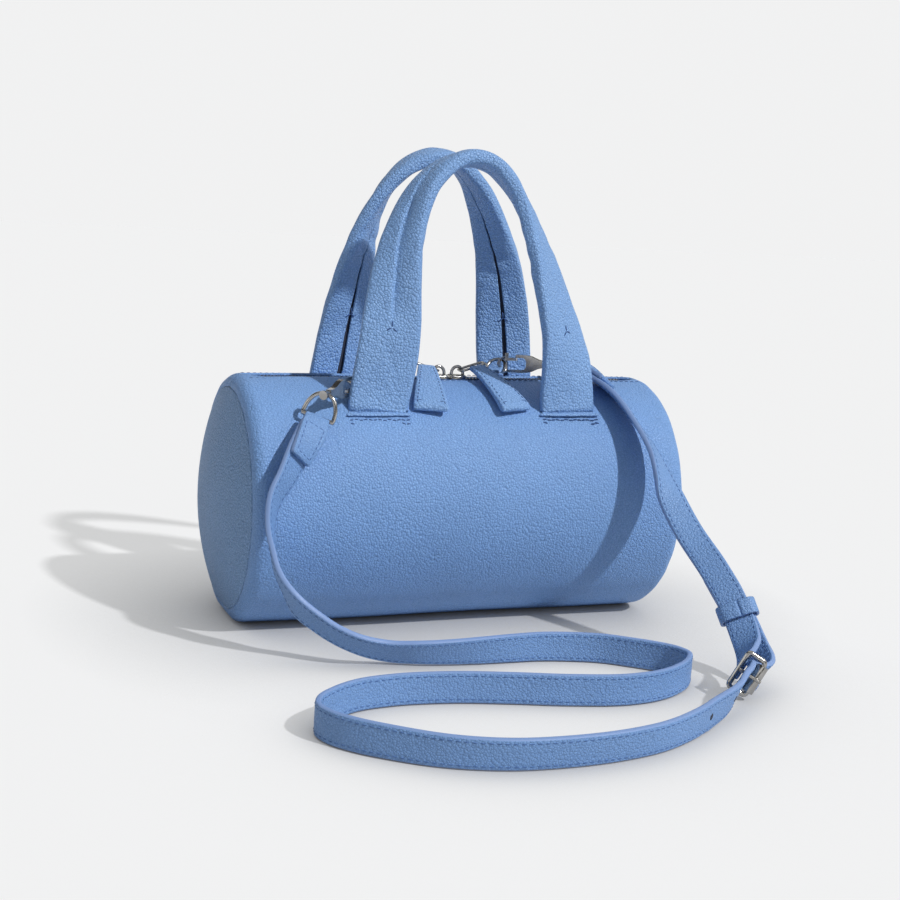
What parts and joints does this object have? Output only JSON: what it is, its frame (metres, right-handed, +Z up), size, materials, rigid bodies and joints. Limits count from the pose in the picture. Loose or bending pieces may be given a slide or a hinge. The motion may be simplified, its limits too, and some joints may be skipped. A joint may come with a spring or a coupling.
{
  "type": "baguette bag",
  "caption": "Small barrel-shaped leather handbag with twin top handles, a two-way zip and a clip-on shoulder strap that closes with a roller buckle.",
  "frame": {"origin": "centre of the flat base, under the middle of the bag's body", "axes": "+X along the bag to the viewer's right, +Y to the rear, +Z up; the front handle is at -Y"},
  "size_m": [0.264, 0.3014, 0.2518],
  "materials": {
    "blue_leather": "pebbled grain",
    "strap_leather": "pebbled grain",
    "polished_metal": "polished",
    "lining_cloth": "plain weave",
    "stiffener_board": "matt",
    "zip_tape": "woven tape"
  },
  "bodies": {
    "bag": {"main_panel": "blue_leather", "body_stiffener": "stiffener_board", "lining_wrap": "lining_cloth", "inner_pocket": "lining_cloth", "zip_tape_front": "zip_tape", "zip_tape_rear": "zip_tape", "zip_teeth_front": "polished_metal", "zip_teeth_rear": "polished_metal", "strap_long": "strap_leather", "strap_long_end": "strap_leather", "strap_short": "strap_leather", "buckle_frame": "polished_metal", "end_panel_left": "blue_leather", "end_stiffener_left": "stiffener_board", "lining_end_left": "lining_cloth", "front_welt_left": "blue_leather", "rear_welt_left": "blue_leather", "front_patch_left": "stiffener_board", "rear_patch_left": "stiffener_board", "ring_loop_left": "blue_leather", "eye_left": "polished_metal", "end_panel_right": "blue_leather", "end_stiffener_right": "stiffener_board", "lining_end_right": "lining_cloth", "front_welt_right": "blue_leather", "rear_welt_right": "blue_leather", "front_patch_right": "stiffener_board", "rear_patch_right": "stiffener_board", "ring_loop_right": "blue_leather", "eye_right": "polished_metal"},
    "front_handle": {"front_handle": "blue_leather", "front_handle_core": "stiffener_board"},
    "rear_handle": {"rear_handle": "blue_leather", "rear_handle_core": "stiffener_board"},
    "slider_left": {"slider_left": "polished_metal"},
    "pull_link_left": {"pull_link_left": "polished_metal"},
    "pull_tab_left": {"pull_tab_left": "blue_leather"},
    "d_ring_left": {"d_ring_left": "polished_metal"},
    "claw_left": {"claw_left": "polished_metal"},
    "trigger_left": {"trigger_left": "polished_metal"},
    "slider_right": {"slider_right": "polished_metal"},
    "pull_link_right": {"pull_link_right": "polished_metal"},
    "pull_tab_right": {"pull_tab_right": "blue_leather"},
    "d_ring_right": {"d_ring_right": "polished_metal"},
    "claw_right": {"claw_right": "polished_metal"},
    "trigger_right": {"trigger_right": "polished_metal"},
    "buckle_roller": {"buckle_roller": "polished_metal"},
    "buckle_prong": {"buckle_prong": "polished_metal"},
    "keeper": {"keeper": "strap_leather"}
  },
  "joints": [
    {"name": "front_handle_fold", "type": "hinge", "parent": "bag", "child": "front_handle", "pos_m": [0, -0.04468, 0.1166], "axis": [1, 0, 0], "range_deg": [0, 90]},
    {"name": "rear_handle_fold", "type": "hinge", "parent": "bag", "child": "rear_handle", "pos_m": [0, 0.04468, 0.1166], "axis": [1, 0, 0], "range_deg": [-90, 0]},
    {"name": "slider_left_run", "type": "slide", "parent": "bag", "child": "slider_left", "axis": [1, 0, 0], "range_m": [-0.09, 0], "deforming": ["pull_tab_left"]},
    {"name": "slider_right_run", "type": "slide", "parent": "bag", "child": "slider_right", "axis": [1, 0, 0], "range_m": [0, 0.037], "deforming": ["pull_tab_right"]},
    {"name": "pull_link_left_lift", "type": "hinge", "parent": "slider_left", "child": "pull_link_left", "pos_m": [-0.0067, 0, 0.1332], "axis": [0, 1, 0], "range_deg": [0, 80], "deforming": ["pull_tab_left"]},
    {"name": "pull_link_right_lift", "type": "hinge", "parent": "slider_right", "child": "pull_link_right", "pos_m": [0.0067, 0, 0.1332], "axis": [0, 1, 0], "range_deg": [-80, 0], "deforming": ["pull_tab_right"]},
    {"name": "pull_tab_left_lift", "type": "hinge", "parent": "pull_link_left", "child": "pull_tab_left", "pos_m": [-0.0145, -0.004, 0.1332], "axis": [1, 0, 0], "range_deg": [-100, 0], "deforming": ["pull_tab_left"]},
    {"name": "pull_tab_right_lift", "type": "hinge", "parent": "pull_link_right", "child": "pull_tab_right", "pos_m": [0.0145, -0.004, 0.1332], "axis": [1, 0, 0], "range_deg": [-100, 0], "deforming": ["pull_tab_right"]},
    {"name": "d_ring_left_swing", "type": "hinge", "parent": "bag", "child": "d_ring_left", "pos_m": [-0.05625, -0.02261, 0.12825], "axis": [0.6248, -0.7231, -0.2945], "range_deg": [-3, 3]},
    {"name": "claw_left_swivel", "type": "hinge", "parent": "bag", "child": "claw_left", "pos_m": [-0.08331, -0.04662, 0.12671], "axis": [0.7507, 0.6539, 0.0945], "range_deg": [-8, 8]},
    {"name": "trigger_left_pull", "type": "slide", "parent": "claw_left", "child": "trigger_left", "axis": [-0.7507, -0.6539, -0.0945], "range_m": [0, 0.003], "stiffness_N_per_m": 150},
    {"name": "d_ring_right_swing", "type": "hinge", "parent": "bag", "child": "d_ring_right", "pos_m": [0.03687, 0.01969, 0.12939], "axis": [-0.7828, 0.5876, -0.2047], "range_deg": [-2, 3]},
    {"name": "claw_right_swivel", "type": "hinge", "parent": "bag", "child": "claw_right", "pos_m": [0.06512, 0.00476, 0.13619], "axis": [-0.8076, 0.5866, -0.0604], "range_deg": [-8, 8]},
    {"name": "trigger_right_pull", "type": "slide", "parent": "claw_right", "child": "trigger_right", "axis": [0.8076, -0.5866, 0.0604], "range_m": [0, 0.003], "stiffness_N_per_m": 150},
    {"name": "buckle_roller_spin", "type": "hinge", "parent": "bag", "child": "buckle_roller", "pos_m": [0.0965, -0.1785, 0.0105], "axis": [0.5132, -0.041, 0.8573], "continuous": true},
    {"name": "buckle_prong_lift", "type": "hinge", "parent": "bag", "child": "buckle_prong", "pos_m": [0.08915, -0.17459, 0.01508], "axis": [-0.5132, 0.041, -0.8573], "range_deg": [0, 60], "deforming": ["strap_long_end"]},
    {"name": "keeper_run", "type": "slide", "parent": "bag", "child": "keeper", "axis": [0.0995, -0.6166, -0.7809], "range_m": [-0.012, 0.012], "deforming": ["strap_long_end", "strap_short"]}
  ]
}
